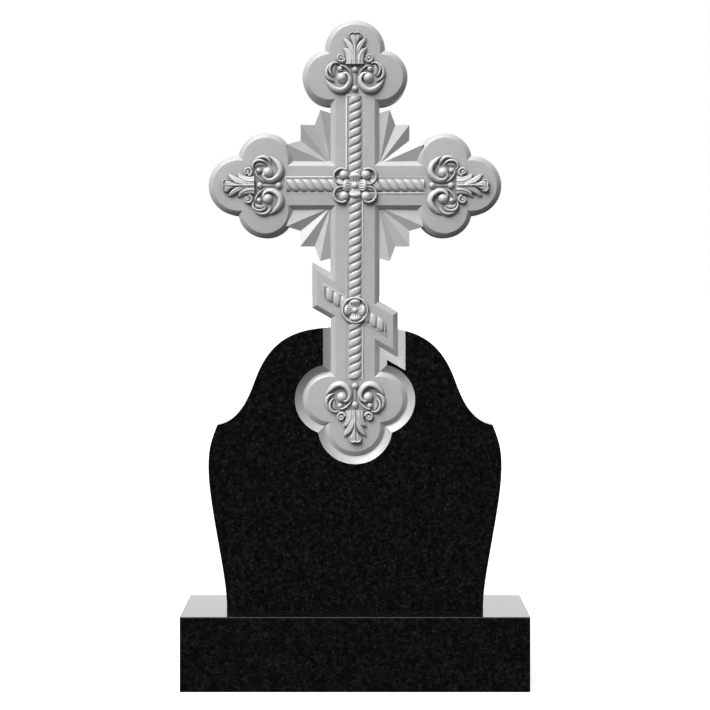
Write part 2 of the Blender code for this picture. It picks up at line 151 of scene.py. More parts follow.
grains = {
    "cloudDetail": 5.0,
    "cloudRoughness": 0.68,
    "bend": 0.004,  # how far noise bends the crystals' outlines, in metres
    "softness": 0.35,
}


def makeGrainGroup():
    # crystals of one stone, as soft clouds, single grains and rare bright flakes
    group, start, end = newGroup(
        "stoneGrain",
        [
            ("Vector", "NodeSocketVector", None),
            ("Cloud Scale", "NodeSocketFloat", 60.0),
            ("Grain Scale", "NodeSocketFloat", 420.0),
            ("Flake Share", "NodeSocketFloat", 0.06),
        ],
        [
            ("Cloud", "NodeSocketFloat"),
            ("Grain", "NodeSocketFloat"),
            ("Flake", "NodeSocketFloat"),
        ],
    )
    place = start.outputs["Vector"]
    cloud = addNode(
        group, "ShaderNodeTexNoise", None,
        Vector=place, Scale=start.outputs["Cloud Scale"],
        Detail=grains["cloudDetail"], Roughness=grains["cloudRoughness"],
    )
    bend = addNode(
        group, "ShaderNodeTexNoise", None,
        Vector=place, Scale=start.outputs["Grain Scale"], Detail=1.0,
    )
    push = addNode(group, "ShaderNodeVectorMath", {"operation": "MULTIPLY_ADD"})
    group.links.new(bend.outputs["Color"], push.inputs[0])
    push.inputs[1].default_value = (grains["bend"],) * 3
    group.links.new(place, push.inputs[2])
    grain = addNode(
        group, "ShaderNodeTexVoronoi", {"feature": "SMOOTH_F1"},
        Vector=push.outputs[0], Scale=start.outputs["Grain Scale"],
        Smoothness=grains["softness"], Randomness=1.0,
    )
    split = addNode(group, "ShaderNodeSeparateColor", None, Color=grain.outputs["Color"])
    flake = mathNode(group, "LESS_THAN", split.outputs["Green"], start.outputs["Flake Share"])
    group.links.new(cloud.outputs["Fac"], end.inputs["Cloud"])
    group.links.new(split.outputs["Red"], end.inputs["Grain"])
    group.links.new(flake, end.inputs["Flake"])
    return group


def makeCreviceShadeGroup():
    # how closed in a spot is, the mask for painted shade: 1 in the open, towards 0 in a carved corner
    group, start, end = newGroup(
        "creviceShadeMask",
        [("Distance", "NodeSocketFloat", 0.012)],
        [("Open", "NodeSocketFloat")],
    )
    shade = addNode(
        group, "ShaderNodeAmbientOcclusion", {"samples": 8}, Distance=start.outputs["Distance"],
    )
    group.links.new(shade.outputs["AO"], end.inputs["Open"])
    return group


def useGroup(tree, group, **inputs):
    node = addNode(tree, "ShaderNodeGroup", {"node_tree": group}, **inputs)
    return node.outputs


def newMaterial(name):
    material = bpy.data.materials.new(name)
    material.use_nodes = True
    shader = material.node_tree.nodes["Principled BSDF"]
    place = material.node_tree.nodes.new("ShaderNodeTexCoord").outputs["Object"]
    return material, material.node_tree, shader, place


grainGroup = makeGrainGroup()
creviceShadeGroup = makeCreviceShadeGroup()

blackGranite = {
    "deep": 0.0012,
    "dark": 0.0040,
    "pale": 0.0110,
    "cloudScale": 95.0,
    "grainScale": 240.0,
    "grainStrength": 0.8,
    "flakes": 0.045,  # the share of crystals that shine
    "roughness": (0.10, 0.18),
    "gloss": 0.30,
}


def makeBlackGranite():
    material, tree, shader, place = newMaterial("polishedBlackGranite")
    grain = useGroup(
        tree, grainGroup, Vector=place,
        CloudScale=blackGranite["cloudScale"], GrainScale=blackGranite["grainScale"],
        FlakeShare=blackGranite["flakes"],
    )
    cloudy = ramp(tree, grain["Cloud"], [
        (0.30, blackGranite["deep"]),
        (0.50, blackGranite["dark"]),
        (0.72, blackGranite["pale"]),
    ])
    mottled = addNode(
        tree, "ShaderNodeMix", {"data_type": "RGBA", "blend_type": "MULTIPLY"},
        Factor=blackGranite["grainStrength"], A=cloudy,
        B=ramp(tree, grain["Grain"], [(0.15, 0.45), (0.50, 1.0), (0.85, 1.9)]),
    ).outputs["Result"]
    flakeTint = ramp(tree, grain["Grain"], [
        (0.2, (0.018, 0.015, 0.010)),
        (0.5, (0.010, 0.013, 0.019)),
        (0.8, (0.021, 0.019, 0.015)),
    ])
    coloured = addNode(
        tree, "ShaderNodeMix", {"data_type": "RGBA"}, Factor=grain["Flake"], A=mottled, B=flakeTint,
    ).outputs["Result"]
    tree.links.new(coloured, shader.inputs["Base Color"])
    low, high = blackGranite["roughness"]
    tree.links.new(ramp(tree, grain["Cloud"], [(0.35, low), (0.75, high)]), shader.inputs["Roughness"])
    shader.inputs["Specular IOR Level"].default_value = blackGranite["gloss"]
    return material


carvedStone = {
    "dark": 0.435,
    "pale": 0.475,
    # crest: painted highlight, how much paler the raised crests are coloured
    "crest": 1.30,  # how much paler the raised crests are
    "crestHeight": (0.003, 0.009),
    # painted shade: how dark a carved corner is coloured, in place of occlusion
    "crevice": 0.26,  # how dark a carved corner gets
    "creviceReach": 0.0045,
    # painted shade: how dark the flat stone is coloured beside the ornaments
    "hollow": 0.52,  # how dark the flat stone gets beside the ornaments
    "hollowReach": 0.026,
    "flatFacing": (-0.93, -0.995),  # a face is flat where its normal's Y lies past these
    "cloudScale": 45.0,
    "grainScale": 900.0,
    "grainStrength": 0.5,
    "roughness": (0.35, 0.43),
    "gloss": 0.70,
    "grainHeight": 0.00006,
    "grainBump": 0.25,
}


def makeCarvedStone():
    material, tree, shader, place = newMaterial("carvedGreyGranite")
    grain = useGroup(
        tree, grainGroup, Vector=place,
        CloudScale=carvedStone["cloudScale"], GrainScale=carvedStone["grainScale"],
    )
    level = ramp(tree, grain["Cloud"], [(0.30, carvedStone["dark"]), (0.70, carvedStone["pale"])])
    speckled = addNode(
        tree, "ShaderNodeMix", {"data_type": "RGBA", "blend_type": "MULTIPLY"},
        Factor=carvedStone["grainStrength"], A=level,
        B=ramp(tree, grain["Grain"], [(0.0, 0.90), (1.0, 1.08)]),
    ).outputs["Result"]
    # painted highlight: paler towards the raised crests, in place of the light they catch
    depth = addNode(tree, "ShaderNodeSeparateXYZ", None, Vector=place).outputs["Y"]
    low, high = carvedStone["crestHeight"]
    height = addNode(
        tree, "ShaderNodeMapRange", None, Value=depth,
        FromMin=faceY - low, FromMax=faceY - high, ToMin=1.0, ToMax=carvedStone["crest"],
    ).outputs["Result"]
    raised = addNode(
        tree, "ShaderNodeVectorMath", {"operation": "SCALE"}, Vector=speckled, Scale=height,
    ).outputs[0]
    # painted shade: darker on flat stone near an ornament, and in every carved corner
    near = useGroup(tree, creviceShadeGroup, Distance=carvedStone["creviceReach"])["Open"]
    far = useGroup(tree, creviceShadeGroup, Distance=carvedStone["hollowReach"])["Open"]
    normal = tree.nodes.new("ShaderNodeNewGeometry").outputs["Normal"]
    facing = addNode(tree, "ShaderNodeSeparateXYZ", None, Vector=normal).outputs["Y"]
    tilted, straight = carvedStone["flatFacing"]
    flat = addNode(
        tree, "ShaderNodeMapRange", None,
        Value=facing, FromMin=tilted, FromMax=straight, ToMin=0.0, ToMax=1.0,
    ).outputs["Result"]
    haloShaded = addNode(
        tree, "ShaderNodeMix", {"data_type": "RGBA", "blend_type": "MULTIPLY"},
        Factor=flat, A=raised, B=ramp(tree, far, [(0.45, carvedStone["hollow"]), (0.93, 1.0)]),
    ).outputs["Result"]
    # painted shade in every carved corner
    shaded = addNode(
        tree, "ShaderNodeMix", {"data_type": "RGBA", "blend_type": "MULTIPLY"},
        Factor=1.0, A=haloShaded, B=ramp(tree, near, [(0.15, carvedStone["crevice"]), (0.65, 1.0)]),
    ).outputs["Result"]
    tree.links.new(shaded, shader.inputs["Base Color"])
    low, high = carvedStone["roughness"]
    tree.links.new(ramp(tree, grain["Cloud"], [(0.3, low), (0.7, high)]), shader.inputs["Roughness"])
    bump = addNode(
        tree, "ShaderNodeBump", None,
        Strength=carvedStone["grainBump"], Distance=carvedStone["grainHeight"], Height=grain["Grain"],
    )
    tree.links.new(bump.outputs["Normal"], shader.inputs["Normal"])
    shader.inputs["Specular IOR Level"].default_value = carvedStone["gloss"]
    return material


granite = makeBlackGranite()
carved = makeCarvedStone()
print("materials made")


# outlines of the cross, seen from the front, about its own centre

def turned(point, angle):
    u, v = point
    return (u * math.cos(angle) + v * math.sin(angle), v * math.cos(angle) - u * math.sin(angle))


def arc(centre, radius, start, end, steps):
    points = []
    for i in range(steps + 1):
        angle = start + (end - start) * i / steps
        points.append((centre[0] + radius * math.cos(angle), centre[1] + radius * math.sin(angle)))
    return points


def trefoilEnd(length, grow):
    # from the arm's right edge round three lobes to its left edge
    sideRadius = cross["sideLobe"] + grow
    endRadius = cross["endLobe"] + grow
    spread = cross["sideSpread"]
    rise = cross["endReach"]
    across = armHalf + grow - spread
    start = math.atan2(-math.sqrt(sideRadius**2 - across**2), across)
    distance = math.hypot(spread, rise)
    along = (sideRadius**2 - endRadius**2 + distance**2) / (2 * distance)
    off = math.sqrt(sideRadius**2 - along**2)
    cuspU = spread + (-along * spread + off * rise) / distance
    cuspV = (along * rise + off * spread) / distance
    right = arc((spread, length), sideRadius, start, math.atan2(cuspV, cuspU - spread), cross["sideSteps"])
    endStart = math.atan2(cuspV - rise, cuspU)
    right += arc((0, length + rise), endRadius, endStart, math.pi / 2, cross["endSteps"])[1:-1]
    tip = (0, length + rise + endRadius)
    return right + [tip] + [(-u, v) for u, v in reversed(right)]


def squareEnd(length, half):
    return [(half, length), (-half, length)]


def restEdge(x, half, side):
    angle = cross["restAngle"]
    return -cross["restDrop"] + (side * half - x * math.sin(angle)) / math.cos(angle)


def restCorners(side, inner, outer, half):
    near = side * inner
    far = side * outer
    points = [
        (near, restEdge(near, half, 1)),
        (far, restEdge(far, half, 1)),
        (far, restEdge(far, half, -1)),
        (near, restEdge(near, half, -1)),
    ]
    return points if side < 0 else points[::-1]


def joinEnds(ends, half, outer, restWidth):
    # the whole outline, anticlockwise
    points = [turned(p, turn["top"]) for p in ends["top"]] + [(-half, half)]
    points += [turned(p, turn["left"]) for p in ends["left"]] + [(-half, -half)]
    points += restCorners(-1, half, outer, restWidth)
    points += [turned(p, turn["foot"]) for p in ends["foot"]]
    points += restCorners(1, half, outer, restWidth) + [(half, -half)]
    points += [turned(p, turn["right"]) for p in ends["right"]] + [(half, half)]
    return points


def crossOutline(grow):
    ends = {name: trefoilEnd(length, grow) for name, length in reach.items()}
    return joinEnds(ends, armHalf + grow, restEnd + grow, restHalf + grow)


def frameEnd(name):
    return reach[name] + shift[name] - frameGap


def frameOutline(grow):
    half = cross["rope"] / 2 + cross["frame"] + grow
    ends = {name: squareEnd(frameEnd(name) + grow, half) for name in reach}
    outer = cross["restRope"] + cross["restEndFrame"] + grow
    return joinEnds(ends, half, outer, cross["rope"] / 2 + cross["restFrame"] + grow)


# helpers for meshes

def stackOutlines(layers):
    # a flat face, extruded from outline to outline; each corner carries its own number along
    bm = bmesh.new()
    number = bm.verts.layers.int.new("number")
    points, depth = layers[0]
    corners = [bm.verts.new((x, depth, z + crossZ)) for x, z in points]
    for i, vert in enumerate(corners):
        vert[number] = i
    first = cap = bm.faces.new(corners)
    for points, depth in layers[1:]:
        grown = bmesh.ops.extrude_face_region(bm, geom=[cap])["geom"]
        if cap is not first:
            bm.faces.remove(cap)
        cap = [item for item in grown if isinstance(item, bmesh.types.BMFace)][0]
        for vert in cap.verts:
            x, z = points[vert[number]]
            vert.co = (x, depth, z + crossZ)
    bm.faces.ensure_lookup_table()
    return bm


def meshObject(name, bm, materials, smoothAngle=30):
    bmesh.ops.recalc_face_normals(bm, faces=bm.faces[:])
    mesh = bpy.data.meshes.new(name)
    bm.to_mesh(mesh)
    bm.free()
    for material in materials:
        mesh.materials.append(material)
    mesh.shade_smooth()
    mesh.set_sharp_from_angle(angle=math.radians(smoothAngle))
    piece = bpy.data.objects.new(name, mesh)
    scene.collection.objects.link(piece)
    return piece


def dress(piece):
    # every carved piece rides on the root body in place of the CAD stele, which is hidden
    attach(piece, "root")
    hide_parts("stele")
    print("made", piece.name, len(piece.data.polygons), "faces")


def evaluated(piece):
    bpy.context.view_layer.update()
    return bpy.data.meshes.new_from_object(piece.evaluated_get(bpy.context.evaluated_depsgraph_get()))


# the stone: slab, groove, cross and rays, fused to one body

slabKnots = [  # half-width, height, handle before, handle after, up the right side
    (0.261, 0, (0, 0), (-0.0033, 0.060)),
    (0.2985, 0.291, (0, -0.080), (0, 0.034)),
    (0.2805, 0.377, (0.0144, -0.0355), (-0.0435, 0.0073)),
    (0.2036, 0.4685, (0.0148, -0.0410), (-0.0386, 0.1073)),
]
slabTop = (0, 0.576, (0.0907, 0), (-0.0907, 0))


def makeSlab():
    curve = bpy.data.curves.new("slab", "CURVE")
    curve.dimensions = "2D"
    curve.fill_mode = "BOTH"
    curve.extrude = stone["thickness"] / 2 - stone["arris"]
    curve.bevel_depth = stone["arris"]
    curve.bevel_resolution = 2
    curve.offset = -stone["arris"]
    curve.resolution_u = stone["curveSteps"]
    left = [
        (-u, v, (-after[0], after[1]), (-before[0], before[1]))
        for u, v, before, after in slabKnots[::-1]
    ]
    knots = slabKnots + [slabTop] + left
    spline = curve.splines.new("BEZIER")
    spline.use_cyclic_u = True
    spline.bezier_points.add(len(knots) - 1)
    for point, (u, v, before, after) in zip(spline.bezier_points, knots):
        point.handle_left_type = point.handle_right_type = "FREE"
        point.co = (u, v, 0)
        point.handle_left = (u + before[0], v + before[1], 0)
        point.handle_right = (u + after[0], v + after[1], 0)
    spline.bezier_points[0].handle_left_type = "VECTOR"
    spline.bezier_points[len(knots) - 1].handle_right_type = "VECTOR"
    guide = bpy.data.objects.new("slabGuide", curve)
    scene.collection.objects.link(guide)
    mesh = evaluated(guide)
    bpy.data.objects.remove(guide)
    bm = bmesh.new()
    bm.from_mesh(mesh)
    bmesh.ops.remove_doubles(bm, verts=bm.verts[:], dist=0.00001)
    bmesh.ops.rotate(bm, verts=bm.verts[:], matrix=Matrix.Rotation(math.pi / 2, 3, "X"))
    bmesh.ops.translate(bm, verts=bm.verts[:], vec=(0, 0, steleLow.z))
    for face in bm.faces:
        face.material_index = 0
    return meshObject("steleBody", bm, [granite, carved])


def makeGroove():
    # it starts under the cross's edge and ends in front of the polished face
    below = 0.001
    outside = cross["groove"] + 0.004
    return meshObject("groove", stackOutlines([
        (crossOutline(-below), valleyY + below * bevelSlope),
        (crossOutline(cross["groove"]), valleyY - cross["groove"] * bevelSlope),
        (crossOutline(outside), valleyY - outside * bevelSlope),
    ]), [carved])


def makeCrossBlock():
    # the arrises between side, bevel and face are eased a little
    ease = cross["arris"]
    bm = stackOutlines([
        (crossOutline(0), backY),
        (crossOutline(0), valleyY + ease),
        (crossOutline(-ease * 0.3), valleyY + ease * 0.2),
        (crossOutline(-ease), valleyY - ease * bevelSlope),
        (crossOutline(ease - cross["bevel"]), faceY + ease * bevelSlope),
        (crossOutline(-cross["bevel"] - ease * 0.1), faceY + ease * 0.12),
        (crossOutline(-cross["bevel"] - ease), faceY),
    ])
    for face in bm.faces:
        face.material_index = 1
    bm.faces[0].material_index = 0  # the back is polished like the slab
    return meshObject("crossBlock", bm, [granite, carved])


rays = {
    "tip": 0.0075,
    "valley": 0.002,
    "edge": 0.0015,
    "rootInset": 0.0056,
    "rim": [  # across, up, and which level
        (-0.006, -0.006, "edge"),
        (0.0794, 0.0, "edge"),
        (0.0896, 0.0391, "tip"),
        (0.0610, 0.0479, "valley"),
        (0.0610, 0.0794, "tip"),
        (0.0324, 0.0794, "valley"),
        (0.0207, 0.1096, "tip"),
        (-0.006, 0.1020, "edge"),
    ],
}


def makeRayFan(sideX, sideZ):
    # a flat block, pulled up at its tips and folded down to the root in its corner
    level = {"tip": -rays["tip"], "valley": rays["valley"], "edge": rays["edge"]}
    rootX = armHalf
    rootZ = armHalf - rays["rootInset"]
    bm = bmesh.new()
    rim = []
    for across, up, kind in rays["rim"]:
        place = (sideX * (rootX + across), valleyY + level[kind], sideZ * (rootZ + up) + crossZ)
        rim.append(bm.verts.new(place))
    cap = bm.faces.new(rim)
    grown = bmesh.ops.extrude_face_region(bm, geom=[cap])["geom"]
    for vert in grown:
        if isinstance(vert, bmesh.types.BMVert):
            vert.co.y = backY
    front = bmesh.ops.poke(bm, faces=[cap])["verts"][0]
    front.co = (sideX * rootX, valleyY, sideZ * rootZ + crossZ)
    for face in bm.faces:
        face.material_index = 0 if min(v.co.y for v in face.verts) > backY - 0.0001 else 1
    return meshObject("rayFan", bm, [granite, carved])


def fuse(body, operation, tools):
    # cuts or joins a set of tools in one go, each with its own material
    holder = bpy.data.collections.new("tools")
    scene.collection.children.link(holder)
    for tool in tools:
        scene.collection.objects.unlink(tool)
        holder.objects.link(tool)
    boolean = body.modifiers.new(operation, "BOOLEAN")
    boolean.operation = operation
    boolean.solver = "EXACT"
    boolean.operand_type = "COLLECTION"
    boolean.collection = holder
    boolean.material_mode = "TRANSFER"
    mesh = evaluated(body)
    body.modifiers.clear()
    body.data = mesh
    for tool in tools:
        bpy.data.objects.remove(tool)
    bpy.data.collections.remove(holder)


def makeSteleBody():
    body = makeSlab()
    fuse(body, "DIFFERENCE", [makeGroove()])
    fans = [makeRayFan(sideX, sideZ) for sideX in (-1, 1) for sideZ in (-1, 1)]
    fuse(body, "UNION", [makeCrossBlock()] + fans)
    bm = bmesh.new()
    bm.from_mesh(body.data)
    bmesh.ops.remove_doubles(bm, verts=bm.verts[:], dist=stone["weld"])
    bmesh.ops.dissolve_degenerate(bm, edges=bm.edges[:], dist=stone["weld"])
    # the polished faces shade flat right up to their softened arrises
    for face in bm.faces:
        face.smooth = True
    for edge in bm.edges:
        polished = [
            face.material_index == 0 and abs(face.normal.y) > 0.9999 for face in edge.link_faces
        ]
        rim = any(polished) and not all(polished)
        edge.smooth = not rim and edge.calc_face_angle(0.0) < stone["sharpFrom"]
    bm.to_mesh(body.data)
    bm.free()
    return body


dress(makeSteleBody())


# raised frame and ropes

ropes = {
    "height": 0.0053,
    "edge": 0.0012,  # height at the rope's two sides
    "crownPower": 3.0,  # higher makes the top flatter
    "pitch": 0.0171,
    "rise": math.radians(22.6),
    "crossbarRise": math.radians(28),
    "bow": 0.18,  # how much a strand's ends curl on
    "groove": 0.0040,
    "groovePower": 3.4,  # higher makes the groove between strands narrower
    "endGap": 0.004,
    "columns": 16,
    "rows": 12,
}
ledge = {
    "slope": 0.0028,
    "height": 0.0016,
    "soft": 0.0005,
    "under": 1.3,  # both slopes run on under the face
}


def makeFrame():
    slope = ledge["slope"]
    height = ledge["height"]
    soft = ledge["soft"]
    under = ledge["under"]
    bm = stackOutlines([
        (frameOutline(slope * (under - 1)), faceY + height * (under - 1)),
        (frameOutline(soft - slope), faceY - height * (1 - soft / slope)),
        (frameOutline(-slope), faceY - height * (1 - 0.45 * soft / slope)),
        (frameOutline(-slope - soft), faceY - height * (1 - soft / slope)),
        (frameOutline(-slope * (under + 1)), faceY + height * (under - 1)),
    ])
    return meshObject("ropeFrame", bm, [carved], smoothAngle=50)


def makeRope(name, angle, x, z, length, cuts, rise=ropes["rise"]):
    # pillow strands lie slanting on a half-round bar, and each end is cut off square
    half = cross["rope"] / 2
    strands = math.ceil((length + cross["rope"]) / ropes["pitch"])
    rows = strands * ropes["rows"]
    bm = bmesh.new()
    bmesh.ops.create_grid(bm, x_segments=ropes["columns"], y_segments=rows, size=0.5)
    for vert in bm.verts:
        across = math.sin(vert.co.x * math.pi)
        strand = (vert.co.y + 0.5) * strands
        fall = abs(2 * (strand - math.floor(strand + 0.0001)) - 1) ** ropes["groovePower"]
        crown = ropes["height"] - (ropes["height"] - ropes["edge"]) * abs(across) ** ropes["crownPower"]
        drop = fall * ropes["groove"] * (0.85 + 0.3 * across**2)  # deeper at the sides
        climb = (across + ropes["bow"] * across**3) * half * math.tan(rise)
        vert.co = (across * half, drop - crown, (strand - strands / 2) * ropes["pitch"] + climb)
    rim = [edge for edge in bm.edges if edge.is_boundary]
    for item in bmesh.ops.extrude_edge_only(bm, edges=rim)["geom"]:
        if isinstance(item, bmesh.types.BMVert):
            item.co.y = 1.2 * ropes["groove"]
    bmesh.ops.contextual_create(bm, geom=[edge for edge in bm.edges if edge.is_boundary])
    bmesh.ops.rotate(bm, verts=bm.verts[:], matrix=Matrix.Rotation(angle, 3, "Y"))
    bmesh.ops.translate(bm, verts=bm.verts[:], vec=(x, faceY, z + crossZ))
    for point, normal in cuts:
        everything = bm.verts[:] + bm.edges[:] + bm.faces[:]
        bmesh.ops.bisect_plane(
            bm, geom=everything, plane_co=(point[0], 0, point[1] + crossZ),
            plane_no=(normal[0], 0, normal[1]), clear_outer=True,
        )
        bmesh.ops.holes_fill(bm, edges=[edge for edge in bm.edges if edge.is_boundary])
    return meshObject(name, bm, [carved], smoothAngle=55)


def makeRopes():
    top = frameEnd("top") - ropes["endGap"]
    foot = frameEnd("foot") - ropes["endGap"]
    left = frameEnd("left") - ropes["endGap"]
    right = frameEnd("right") - ropes["endGap"]
    rest = cross["restRope"]
    slant = cross["restAngle"]
    drop = -cross["restDrop"]
    level = math.pi / 2
    ends = [((0, top), (0, 1)), ((0, -foot), (0, -1))]
    dress(makeRope("ropeUpright", 0, 0, (top - foot) / 2, top + foot, ends))
    ends = [((right, 0), (1, 0)), ((-left, 0), (-1, 0))]
    middle = (right - left) / 2
    dress(makeRope("ropeCrossbar", level, middle, 0, left + right, ends, ropes["crossbarRise"]))
    ends = [((rest, 0), (1, 0)), ((-rest, 0), (-1, 0))]
    dress(makeRope("ropeFootrest", level + slant, 0, drop, 2 * rest / math.cos(slant), ends))


dress(makeFrame())
makeRopes()


# carved strokes: every scroll, frond and leaf lobe is one

def onRoute(route, along):
    # a smooth line through the route's points: the point itself, then the heading
    spans = len(route) - 1
    span = min(int(along * spans), spans - 1)
    t = along * spans - span
    before, start, end, after = (Vector(route[min(max(span + k, 0), spans)]) for k in (-1, 0, 1, 2))
    point = start + 0.5 * t * (end - before + t * (
        2 * before - 5 * start + 4 * end - after + t * (3 * (start - end) + after - before)))
    heading = 0.5 * (end - before + t * (
        2 * (2 * before - 5 * start + 4 * end - after) + 3 * t * (3 * (start - end) + after - before)))
    return point, Vector((heading.x, heading.y)).normalized()


def carveStroke(
        bm, route, side=1, crest=0.0, rows=28, columns=12, flutes=0, fluteDepth=0.0, fluteReach=9.0,
        sharp=1.0, keel=0.0, cup=0.0):
    # points are (u, v, half-width, height) in millimetres; crest moves the ridge off the middle,
    # keel folds it to an edge, cup hollows it between raised rims, and flutes fade along their reach
    grid = bmesh.ops.create_grid(bm, x_segments=columns, y_segments=rows, size=0.5)["verts"]
    for vert in grid:
        angle = vert.co.x * math.pi
        along = vert.co.y + 0.5
        spot, heading = onRoute(route, along)
        wave = math.sin(angle)
        across = crest + wave * (1 + crest if angle < 0 else 1 - crest)
        profile = (1 - keel) * math.cos(angle) ** sharp + keel * (1 - abs(wave))
        height = spot.w * profile * (1 - cup * math.cos(angle) ** 3)
        if flutes:
            ripple = abs(math.sin(flutes * math.pi * (0.5 + 0.5 * across)))
            height *= 1 - fluteDepth * (1 - ripple) * max(0, 1 - (along / fluteReach) ** 3)
        u = spot.x + heading.y * across * spot.z
        v = spot.y - heading.x * across * spot.z
        vert.co = (side * u * millimetre, -height * millimetre, v * millimetre)
    rim = list({edge for vert in grid for edge in vert.link_edges if edge.is_boundary})
    walls = bmesh.ops.extrude_edge_only(bm, edges=rim)["geom"]
    for item in walls:
        if isinstance(item, bmesh.types.BMVert):
            item.co.y = rootDepth
    floor = [item for item in walls if isinstance(item, bmesh.types.BMEdge) and item.is_boundary]
    bmesh.ops.contextual_create(bm, geom=floor)


def addBall(bm, u, v, radius, sink):
    # in millimetres; sink is how far its centre lies behind the face, as a share of its radius
    centre = Matrix.Translation(Vector((u, sink * radius, v)) * millimetre)
    bmesh.ops.create_uvsphere(
        bm, u_segments=28, v_segments=16, radius=radius * millimetre,
        matrix=centre @ Matrix.Rotation(math.pi / 2, 4, "X"),
    )


def placeOrnament(bm, angle, x, z):
    bmesh.ops.rotate(bm, verts=bm.verts[:], matrix=Matrix.Rotation(angle, 3, "Y"))
    bmesh.ops.translate(bm, verts=bm.verts[:], vec=(x, faceY, z + crossZ))


def spiralRoute(
        centre, outer, inner, start, sweep, halfWidth, height, steps=12, thinning=0.35, sinking=0.15):
    # from the outer radius to the inner one, in degrees, thinner and lower as it goes
    route = []
    for i in range(steps + 1):
        part = i / steps
        angle = math.radians(start + sweep * part)
        radius = outer + (inner - outer) * part
        spot = (centre[0] + radius * math.cos(angle), centre[1] + radius * math.sin(angle))
        route.append((*spot, halfWidth * (1 - thinning * part), height * (1 - sinking * part)))
    return route


# finials: drawn for the top end, in millimetres from between the big balls

finial = {
    "volute": [
        (27.6, 2.6, 2.0, 5.0),
        (23.4, 8.2, 3.0, 7.4),
        (16.2, 7.4, 3.7, 8.0),
        (10.8, 0.6, 4.6, 8.4),
        (10.2, -6.6, 5.2, 8.8),
        (11.7, -12.4, 5.7, 8.8),
        (19.2, -22.6, 6.4, 9.6),
        (30.4, -27.0, 6.6, 9.8),
        (42.2, -23.4, 6.4, 8.8),
        (50.8, -15.8, 5.0, 7.0),
        (56.6, -8.4, 2.6, 4.8),
        (59.2, -2.8, 0.7, 2.4),
    ],
    "innerFrond": [
        (33.0, 28.2, 1.2, 5.0),
        (38.8, 30.2, 2.2, 6.6),
        (45.6, 28.6, 3.0, 7.8),
        (50.6, 22.2, 3.3, 8.2),
        (51.4, 13.8, 3.2, 8.0),
        (48.2, 6.8, 2.5, 7.0),
        (42.2, 2.6, 0.7, 4.2),
    ],
    "outerFrond": [
        (48.6, 30.2, 0.8, 3.2),
        (55.4, 21.8, 2.7, 5.4),
        (58.4, 11.6, 3.5, 6.6),
        (57.0, 2.6, 3.9, 6.8),
        (51.0, -4.0, 3.0, 6.0),
        (42.2, -7.4, 0.8, 3.4),
    ],
    "shadeFrond": [
        (37.0, 25.6, 1.2, 1.6),
        (42.0, 22.0, 3.6, 3.4),
        (43.4, 14.0, 3.8, 3.6),
        (42.0, 7.6, 2.2, 2.6),
        (39.8, 4.6, 0.8, 1.4),
    ],
    "stem": [
        (31.0, 24.4, 1.6, 6.4),
        (23.6, 22.8, 2.2, 6.8),
        (16.0, 18.0, 2.2, 6.2),
        (10.4, 11.4, 2.0, 5.4),
        (6.8, 4.0, 1.0, 3.6),
    ],
    "bar": [(0.0, 10.0, 2.0, 2.6), (0.0, -18.0, 2.0, 2.6)],
    "scroll": spiralRoute((28.4, 40.0), 8.7, 3.9, 190, 400, 3.2, 7.4),
    "sideBalls": [  # across, up, radius and sink
        (28.6, 40.1, 4.5, -0.3),  # the scroll's eye
        (26.8, 0.0, 10.8, 0.08),
        (30.4, 17.4, 5.6, -0.3),
    ],
    "beads": [(0.0, 15.9, 6.8, 0.0), (0.0, -22.6, 6.8, 0.0)],
}
sideStrokes = {  # how each of the finial's paired strokes is carved
    "volute": {"crest": -0.35, "rows": 48, "columns": 16},
    "innerFrond": {"crest": 0.25, "rows": 32},
    "outerFrond": {"crest": 0.25, "rows": 28},
    "shadeFrond": {"rows": 16, "columns": 8},
    "stem": {"crest": 0.1, "rows": 24, "columns": 10},
    "scroll": {"rows": 56, "columns": 10},
}
leaf = {
    "midrib": [
        (0.0, 27.0, 5.0, 11.4),
        (0.0, 40.0, 4.6, 12.4),
        (0.0, 54.0, 4.2, 12.4),
        (0.0, 66.0, 3.8, 11.4),
        (0.0, 76.0, 3.2, 10.0),
        (0.0, 86.0, 2.4, 8.0),
    ],
    "crown": [
        (0.0, 58.0, 3.6, 7.0),
        (0.0, 68.0, 4.8, 8.2),
        (0.0, 74.0, 7.0, 8.8),
        (0.0, 80.0, 10.2, 8.8),
        (0.0, 85.0, 11.8, 8.0),
        (0.0, 89.5, 10.8, 6.6),
    ],
    "lip": [
        (-9.6, 78.2, 0.7, 6.0),
        (-11.8, 83.0, 1.4, 7.6),
        (-10.8, 88.0, 1.9, 8.8),
        (-6.0, 91.0, 2.1, 9.8),
        (0.0, 90.0, 2.2, 10.0),
        (6.0, 91.0, 2.1, 9.8),
        (10.8, 88.0, 1.9, 8.8),
        (11.8, 83.0, 1.4, 7.6),
        (9.6, 78.2, 0.7, 6.0),
    ],
    "lowLobe": [
        (9.2, 27.0, 10.6, 9.8),
        (9.0, 36.0, 9.8, 10.2),
        (10.8, 45.0, 8.8, 9.4),
        (15.0, 52.6, 6.8, 7.8),
        (20.0, 56.6, 4.2, 5.6),
        (23.6, 60.8, 1.0, 3.0),
    ],
    "highLobe": [
        (3.4, 42.0, 4.4, 9.0),
        (5.8, 53.0, 5.8, 10.2),
        (9.6, 62.6, 6.6, 9.4),
        (14.4, 70.0, 5.8, 7.8),
        (19.2, 75.4, 3.8, 5.6),
        (22.4, 80.4, 1.0, 3.0),
    ],
}


lobeStrokes = {
    "lowLobe": {"rows": 36, "columns": 42, "flutes": 3, "fluteDepth": 0.17},
    "highLobe": {"rows": 36, "columns": 28, "flutes": 2, "fluteDepth": 0.15},
}


